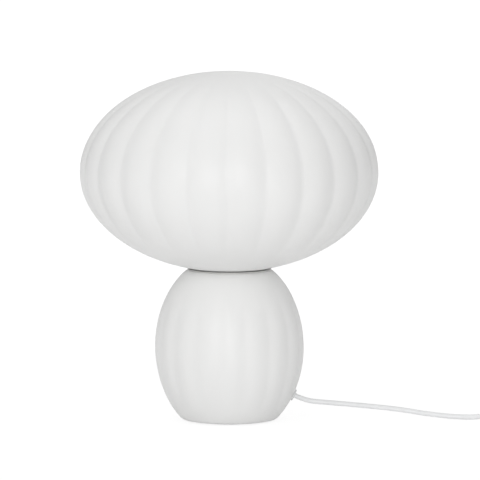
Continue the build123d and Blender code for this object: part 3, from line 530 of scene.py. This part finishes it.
def relief_line():
    """A strain relief's line: the foot that its housing holds, a collar, the ribs, the tip and the bore.
    The line starts and ends in one plane inside the housing."""
    ribs, rib_length, ribs_from = 6, 0.0026, 0.0026
    width, height, narrowing, flattening = 0.0048, 0.0041, 0.0011, 0.0013
    # (distance along a rib, depth below its crest)
    rib = ((0, 0.0007), (0.0009, 0.0007), (0.0010, 0.0001), (0.0012, 0), (0.0023, 0), (0.0025, 0.0002))
    foot = [
        (-RELIEF_INSIDE, 0.0048, 0.0041), (-0.0017, 0.0048, 0.0041), (-0.0017, 0.0036, 0.0029),
        (0.0, 0.0036, 0.0029),
    ]
    collar = [
        (0.0, 0.0047, 0.0040), (0.0003, 0.0050, 0.0043), (0.0022, 0.0050, 0.0043), (0.0025, 0.0047, 0.0040),
    ]
    line = foot + collar
    for k in range(ribs):
        start = ribs_from + rib_length * k
        share = (start - ribs_from) / (RELIEF_LENGTH - ribs_from)
        half_width, half_height = width - narrowing * share, height - flattening * share
        line += [(start + along, half_width - deep, half_height - deep) for along, deep in rib]
    tip = [
        (RELIEF_LENGTH - 0.0008, 0.0036, 0.0027), (RELIEF_LENGTH - 0.0002, 0.0035, 0.0026),
        (RELIEF_LENGTH, 0.0032, 0.0023),
    ]
    bore = [(RELIEF_LENGTH, 0.0027, 0.0018), (-RELIEF_INSIDE, 0.0027, 0.0018)]
    return line + tip + bore


def plug_line():
    """The plug's line, from its face back to the cord."""
    half_width, half_height = PLUG_WIDTH / 2, PLUG_Z - 0.0001  # 0.1 mm clear of the table
    back_width, back_height = 0.0071, 0.0059
    taper_from, taper_length, taper_steps = 0.0105, PLUG_LENGTH - 0.0120, 20
    # the face's rounded edge, as (distance, how far in)
    face = ((0.0, 0.0012), (0.0002, 0.0006), (0.0006, 0.0002), (0.0013, 0.0))
    line = [(along, half_width - off, half_height - off) for along, off in face]
    for i in range(taper_steps + 1):
        t = i / taper_steps
        ease = smooth_step(t)
        line.append((
            taper_from + taper_length * t, half_width - (half_width - back_width) * ease,
            half_height - (half_height - back_height) * ease,
        ))
    taper_end = line[-1][0]
    return line + [(taper_end + 0.0009, 0.0068, 0.0056), (PLUG_LENGTH, 0.0061, 0.0049)]


# ---------------------------------------------------------------- strap, foot and lampholder
def coil_strap():
    """Cloth strap round one side of the coil, with its free end pressed down on top."""
    middle = Vector((0.40505, 0.0, 0.00485))
    thick, half_width, half_height, corner = 0.0008, 0.01115, 0.00435, 0.0032
    covered_end, free_end = -0.002, 0.0075  # both along the top
    lift, lift_from, lift_run = 0.00086, 0.0008, 0.0042  # how the free end climbs onto the strap
    end_round, end_share = 0.0035, 0.35  # its rounded corners, and its width at the very end
    bend_steps, overlap_steps = 8, 24
    path = []  # (x, z) from the middle, and the outward direction there

    def straight(x0, z0, x1, z1, normal, steps):
        for i in range(steps):
            t = i / steps
            path.append((x0 + (x1 - x0) * t, z0 + (z1 - z0) * t, *normal))

    def bend(x, z, start):
        for i in range(bend_steps):
            angle = start - pi / 2 * i / bend_steps
            path.append((x + corner * cos(angle), z + corner * sin(angle), cos(angle), sin(angle)))

    w, h = half_width - corner, half_height - corner
    straight(covered_end, half_height, w, half_height, (0, 1), 8)
    bend(w, h, pi / 2)
    straight(half_width, h, half_width, -h, (1, 0), 4)
    bend(w, -h, 0)
    straight(w, -half_height, -w, -half_height, (0, -1), 16)
    bend(-w, -h, -pi / 2)
    straight(-half_width, -h, -half_width, h, (-1, 0), 4)
    bend(-w, h, pi)
    overlap_at = len(path)
    for i in range(overlap_steps + 1):
        x = -w + (free_end + w) * i / overlap_steps
        path.append((x, half_height + lift * smooth_step((x + w - lift_from) / lift_run), 0, 1))

    # the strap's cross-section, as (share of its thickness, share of half its width)
    section = (
        (-0.5, -1.0), (-0.3, -1.0), (0.3, -1.0), (0.5, -0.985),
        (0.5, 0.985), (0.3, 1.0), (-0.3, 1.0), (-0.5, 0.985),
    )
    points, faces = [], []
    for i, (x, z, nx, nz) in enumerate(path):
        t = min((free_end - x) / end_round, 1.0) if i >= overlap_at else 1.0
        share = end_share + (1 - end_share) * sqrt(max(1 - (1 - t) ** 2, 0))
        for off, y in section:
            points.append((
                middle.x + x + nx * off * thick, COIL_OUTER + y * (TIE_WIDTH / 2) * share,
                middle.z + z + nz * off * thick,
            ))
    count = len(section)
    last = len(points) - count
    for ring in range(0, last, count):
        for k in range(count):
            after, next_ring = (k + 1) % count, ring + count
            faces.append((ring + k, next_ring + k, next_ring + after, ring + after))
    faces.append(tuple(range(count)))
    faces.append(tuple(last + k for k in reversed(range(count))))
    piece = mesh_piece("coil_strap", points, faces)
    dress(piece, "tie_fabric")
    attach(piece, "base")
    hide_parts("cord_tie")
    return piece


def foot_disc():
    """Foam disc under the base, with its cut edge a little crushed."""
    profile = plain([
        (0, 0.0), (0.0296, 0.0), (0.0305, 0.00008), (0.0309, 0.00030), (0.0310, 0.00055),
        (0.0308, 0.00080), (0.0303, 0.00098), (0.0290, 0.0010), (0, 0.0010),
    ])
    piece = turned_mesh("foot_disc", profile, 160)
    dress(piece, "foot_felt")
    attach(piece, "base")
    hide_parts("foot_pad")


def gripped_sleeve():
    """Upper half of the lampholder, with fine grip flutes round its skirt."""
    low, high, steps = 0.1272, 0.1580, 30
    flutes, flute_depth, flute_ease, points_per_flute = 36, 0.00035, 0.0015, 10
    flutes_from, flutes_to = low + 0.003, high - 0.006
    radius, narrowing = 0.0138, 0.001
    skirt = [(0.0123, low), (0.0133, low), (0.0137, low + 0.0004), (radius, low + 0.0009)]
    for i in range(steps + 1):
        z = low + 0.0012 + (high - low - 0.0026) * i / steps
        skirt.append((radius - narrowing * (z - low) / (high - low), z))
    skirt += [(0.01278, high - 0.0009), (0.0125, high - 0.0003), (0.0121, high)]
    profile = [(r, z, z) for r, z in skirt]
    profile += plain([(0.0085, high), (0.0085, high - 0.0004), (0.0113, high - 0.0016)])

    def radius_at(r, z, angle):
        depth = flute_depth * fade(z, flutes_from, flutes_to, flute_ease, flute_ease)
        return r - depth * (0.5 - 0.5 * cos(flutes * angle))

    piece = turned_mesh("gripped_sleeve", profile, flutes * points_per_flute, radius_at)
    dress(piece, "white_plastic")
    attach(piece, "base")
    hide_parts("holder_sleeve")


relief_pair = ringed_piece(
    "ribbed_reliefs", "cord_sheath", relief_line(),
    [(SWITCH_X + way * SWITCH_HALF, 0.0, CORD_IN_SWITCH_Z, way) for way in (-1, 1)],
)
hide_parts("switch_reliefs")
plug_relief = ringed_piece(
    "ribbed_plug_relief", "cord_sheath", relief_line(), [(PLUG_X, PLUG_Y, PLUG_Z, 1)]
)
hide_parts("plug_relief")
plug_shell = ringed_piece(
    "rounded_plug", "white_plastic", plug_line(), [(PLUG_X - PLUG_LENGTH, PLUG_Y, PLUG_Z, 1)],
    around=96, squareness=4.0,
)
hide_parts("plug_body")
strap = coil_strap()
foot_disc()
gripped_sleeve()


# ---------------------------------------------------------------- carried-over CAD nodes
def soften(piece, width):
    """Rounds the edges of a moulded or pressed piece."""
    weld = piece.modifiers.new("weld", "WELD")
    weld.merge_threshold = 0.00001
    edge = piece.modifiers.new("edges", "BEVEL")
    edge.width, edge.segments = width, 3
    edge.limit_method = "ANGLE"
    edge.angle_limit = radians(35)


for name, node in nodes.items():
    if not node.hide_render:  # a replaced node is hidden
        dress(node, slot_of[name])

for name, width in (
    ("switch_cover", 0.0007), ("switch_base", 0.0005), ("switch_rocker", 0.0004), ("plug_pins", 0.0009),
    ("plug_pin_sleeves", 0.0002), ("cord_grommet", 0.0004), ("fitter_cup", 0.0003), ("holder_cap", 0.0006),
    ("bulb_collar", 0.0005),
):
    soften(nodes[name], width)

# ---------------------------------------------------------------- the pieces on the cord, gathered in a list
on_cord = [relief_pair, plug_relief, plug_shell, strap]
on_cord += [
    nodes[name]
    for name in (
        "switch_cover", "switch_base", "switch_rocker", "switch_bridge", "switch_contacts", "switch_screws",
        "switch_live_lead", "switch_neutral_lead", "plug_pins", "plug_pin_sleeves",
    )
]

# ---------------------------------------------------------------- room and light
WHITE = (1, 1, 1, 1)
FLOOR_COLOUR, FLOOR_GLOW, FLOOR_HALF, FLOOR_Z = (0.94, 0.94, 0.94, 1), 1.10, 12, -0.0002
SHADOW_REACH, CLEAR_REACH, SHADOW_GLOW = 0.30, 1.10, 0.80  # the floor keeps a faint shadow near the lamp
WORLD_LIGHT = 0.545


def white_for(tree, output, first_ray, second_ray, lit, white, share=None):
    """Sends the lit shader to the output, and the white one for two kinds of ray, in full or by share."""
    path = add(tree, "ShaderNodeLightPath")
    either = add(tree, "ShaderNodeMath", operation="MAXIMUM")
    tree.links.new(path.outputs[first_ray], either.inputs[0])
    tree.links.new(path.outputs[second_ray], either.inputs[1])
    amount = either.outputs[0]
    if share is not None:
        scaled = add(tree, "ShaderNodeMath", operation="MULTIPLY")
        tree.links.new(amount, scaled.inputs[0])
        tree.links.new(share, scaled.inputs[1])
        amount = scaled.outputs[0]
    mix = add(tree, "ShaderNodeMixShader")
    tree.links.new(amount, mix.inputs["Fac"])
    tree.links.new(lit, mix.inputs[1])
    tree.links.new(white, mix.inputs[2])
    tree.links.new(mix.outputs["Shader"], output.inputs["Surface"])


def floor_material():
    """A near-white surface that keeps a faint shadow at the foot."""
    mat = bpy.data.materials.new("studio_floor")
    mat.use_nodes = True
    tree = mat.node_tree
    tree.nodes.clear()
    out = add(tree, "ShaderNodeOutputMaterial")
    diffuse = add(tree, "ShaderNodeBsdfDiffuse", {"Color": FLOOR_COLOUR})
    glow = add(tree, "ShaderNodeEmission", {"Color": WHITE, "Strength": FLOOR_GLOW})
    place = add(tree, "ShaderNodeTexCoord")
    reach = add(tree, "ShaderNodeVectorMath", operation="LENGTH")
    share = add(tree, "ShaderNodeMapRange", {
        "From Min": SHADOW_REACH, "From Max": CLEAR_REACH, "To Min": SHADOW_GLOW, "To Max": 1.0,
    })
    tree.links.new(place.outputs["Object"], reach.inputs[0])
    tree.links.new(reach.outputs["Value"], share.inputs["Value"])
    white_for(
        tree, out, "Is Camera Ray", "Is Glossy Ray",
        diffuse.outputs["BSDF"], glow.outputs["Emission"], share.outputs["Result"],
    )
    return mat


floor_piece = mesh_piece(
    "floor", [(x * FLOOR_HALF, y * FLOOR_HALF, 0) for x, y in ((-1, -1), (1, -1), (1, 1), (-1, 1))],
    [(0, 1, 2, 3)], smooth=False,
)
floor_piece.location.z = FLOOR_Z
floor_piece.data.materials.append(floor_material())

world = bpy.data.worlds.new("studio")
scene.world = world
world.use_nodes = True
world.node_tree.nodes.clear()
world_out = add(world.node_tree, "ShaderNodeOutputWorld")
world_lit = add(world.node_tree, "ShaderNodeBackground", {"Color": WHITE, "Strength": WORLD_LIGHT})
world_white = add(world.node_tree, "ShaderNodeBackground", {"Color": WHITE, "Strength": 1.0})
white_for(
    world.node_tree, world_out, "Is Camera Ray", "Is Transmission Ray",
    world_lit.outputs["Background"], world_white.outputs["Background"],
)


LAMPS_AIM = (0.0, 0.0, 0.15)


def area_lamp(name, place, size, power):
    data = bpy.data.lights.new(name, "AREA")
    data.shape = "SQUARE"
    data.size = size
    data.energy = power
    lamp = bpy.data.objects.new(name, data)
    scene.collection.objects.link(lamp)
    lamp.location = place
    lamp.rotation_mode = "QUATERNION"
    lamp.rotation_quaternion = (Vector(LAMPS_AIM) - Vector(place)).to_track_quat("-Z", "Y")


for name, place, size, power in (
    ("key", (-1.0, -2.4, 1.1), 1.6, 8.9),
    ("front", (-0.1, -4.4, 0.75), 1.5, 47.5),
    ("top", (0.0, 0.3, 2.2), 1.8, 9.5),
    ("back", (0.6, 2.2, 1.2), 1.4, 2.7),
):
    area_lamp(name, place, size, power)

scene.view_settings.view_transform = "Standard"
